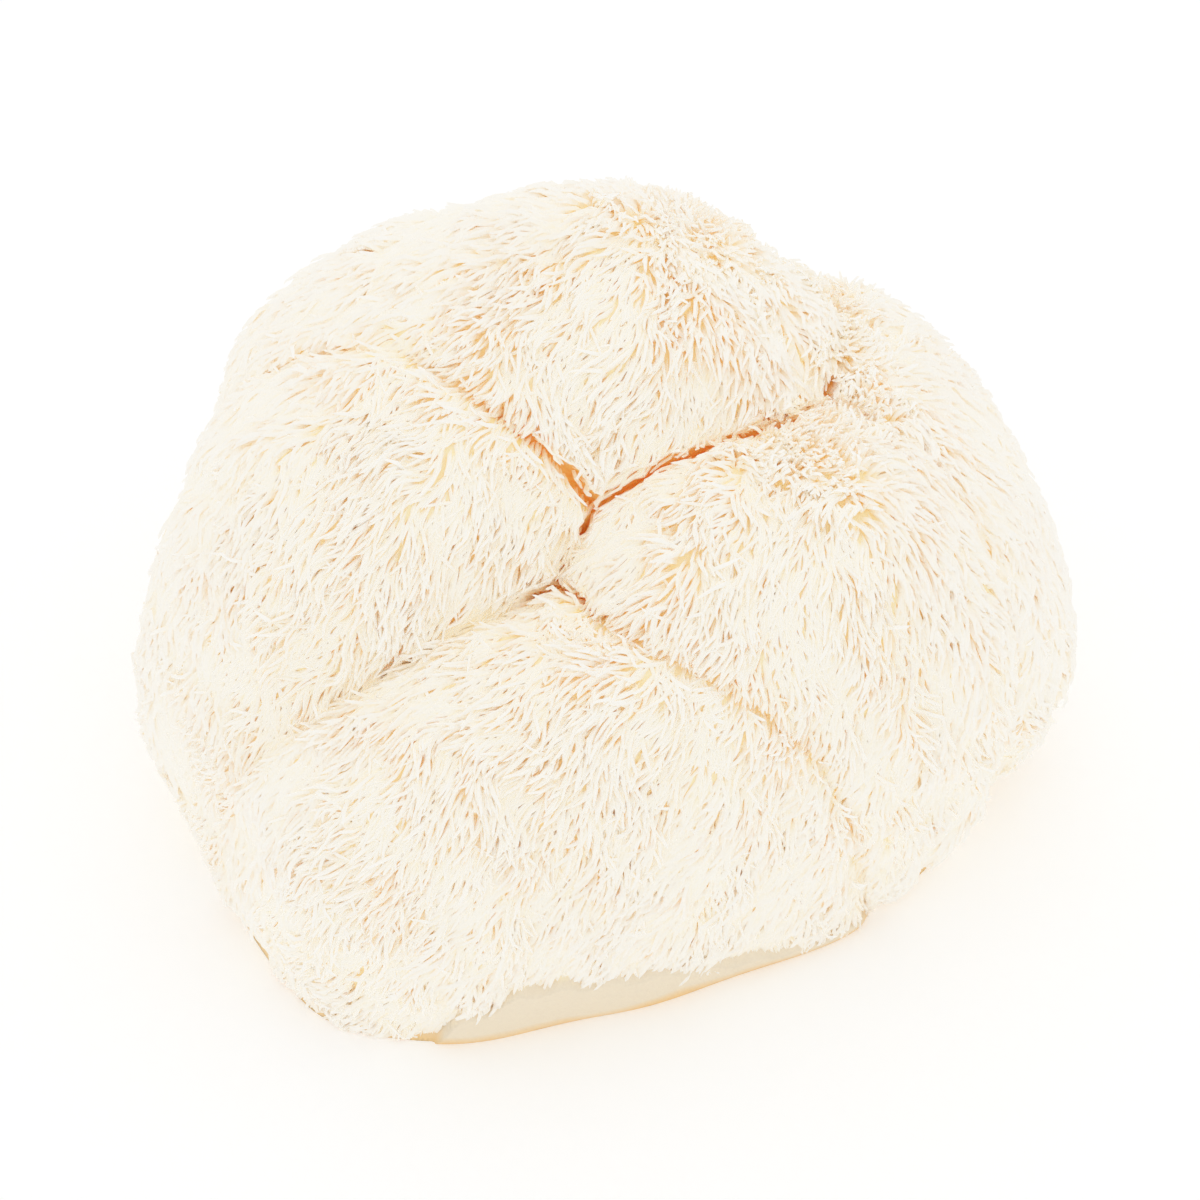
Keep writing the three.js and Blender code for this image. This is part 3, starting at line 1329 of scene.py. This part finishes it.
@dataclass
class Studio:
    """Camera, pale floor and soft light.

    Attributes:
        cluster: The lobes and their place.
        lens: Focal length in mm.
        distance: Distance in mm from the camera to what it looks at.
        elevation: Degrees that the camera looks down.
        aim: Point in mm that it looks at.
        floor_side: Side of the floor in metres.
        paper: Colour of the floor.
        paper_glow: Light that the floor gives off, which keeps it white in the picture.
        surround: Strength of the light from all round.
        box_distance: Distance in metres from the origin to each soft box.
        bounces: Most bounces of a ray, in all.
        matt_bounces: Most of them off matt faces; fewer leave the gaps in the coat grey.
        shiny_bounces: Most of them off shiny faces.
    """

    cluster: Cluster
    lens: float = 100.0
    distance: float = 467.0
    elevation: float = 48.0
    aim: Sequence[float] = (0.0, 0.0, 46.0)
    floor_side: float = 12.0
    paper: Colour = (0.95, 0.955, 0.96)
    paper_glow: float = 0.1
    surround: float = 0.9
    box_distance: float = 1.2
    bounces: int = 72
    matt_bounces: int = 64
    shiny_bounces: int = 32

    def camera(self) -> bpy.types.Object:
        """Make the camera and return it."""
        data = bpy.data.cameras.new("camera")
        data.lens = self.lens
        data.sensor_width = 36.0
        data.clip_start, data.clip_end = 0.01, 50.0
        camera = bpy.data.objects.new("camera", data)
        bpy.context.scene.collection.objects.link(camera)
        angle = math.radians(self.elevation)
        back = Vector((0.0, -math.cos(angle), math.sin(angle)))
        target = Vector(self.cluster.to_metres(np.array(self.aim, float)))
        camera.location = target + back * self.distance * MM
        camera.rotation_mode = "QUATERNION"
        camera.rotation_quaternion = (-back).to_track_quat("-Z", "Y")
        bpy.context.scene.camera = camera
        return camera

    def floor(self) -> bpy.types.Object:
        """Make the plain pale floor and return it."""
        slab = bmesh.new()
        bmesh.ops.create_grid(slab, x_segments=1, y_segments=1, size=self.floor_side / 2.0)
        mesh = bpy.data.meshes.new("floor")
        slab.to_mesh(mesh)
        slab.free()
        floor = bpy.data.objects.new("floor", mesh)
        bpy.context.scene.collection.objects.link(floor)
        tree = Tree("floor_paper")
        tree.set("Base Color", self.paper)
        tree.set("Roughness", 0.9)
        tree.set("Specular IOR Level", 0.1)
        tree.set("Emission Color", (1.0, 1.0, 1.0))
        tree.set("Emission Strength", self.paper_glow)
        mesh.materials.append(tree.material)
        return floor

    def light(self) -> None:
        """Hang the soft boxes and set the surrounding light and tone."""
        scene = bpy.context.scene
        world = bpy.data.worlds.new("surround")
        world.use_nodes = True
        background = world.node_tree.nodes["Background"]
        background.inputs["Color"].default_value = (1.0, 1.0, 1.0, 1.0)
        background.inputs["Strength"].default_value = self.surround
        scene.world = world
        for box in SoftBox:
            self._hang(box)
        scene.cycles.max_bounces = self.bounces
        scene.cycles.diffuse_bounces = self.matt_bounces
        scene.cycles.glossy_bounces = self.shiny_bounces
        scene.view_settings.view_transform = "Standard"
        scene.view_settings.look = "None"
        scene.view_settings.exposure = 0.0

    def _hang(self, box: SoftBox) -> bpy.types.Object:
        """Hang one soft box.

        Args:
            box: Which one.

        Returns:
            The light.
        """
        around, above, size, power = box.value
        data = bpy.data.lights.new(f"box_{box.name.lower()}", "AREA")
        data.shape = "SQUARE"
        data.size = size
        data.energy = power
        light = bpy.data.objects.new(data.name, data)
        bpy.context.scene.collection.objects.link(light)
        around, above = math.radians(around), math.radians(above)
        away = Vector(
            (
                math.sin(around) * math.cos(above),
                -math.cos(around) * math.cos(above),
                math.sin(above),
            )
        )
        light.location = away * self.box_distance
        light.rotation_mode = "QUATERNION"
        light.rotation_quaternion = away.to_track_quat("Z", "Y")
        return light


def main() -> None:
    """Build the studio, the flesh and every coat, and note the sizes."""
    logging.basicConfig(level=logging.INFO, format="%(message)s")
    cluster = Cluster()
    studio = Studio(cluster)
    studio.camera()
    studio.floor()
    studio.light()
    flesh = Flesh(cluster).build()
    LOG.info("%s: %d faces", flesh.name, len(flesh.data.polygons))
    for piece in Coat(cluster).build(flesh):
        LOG.info("%s: %d faces", piece.name, len(piece.data.polygons))


if __name__ == "__main__":
    main()
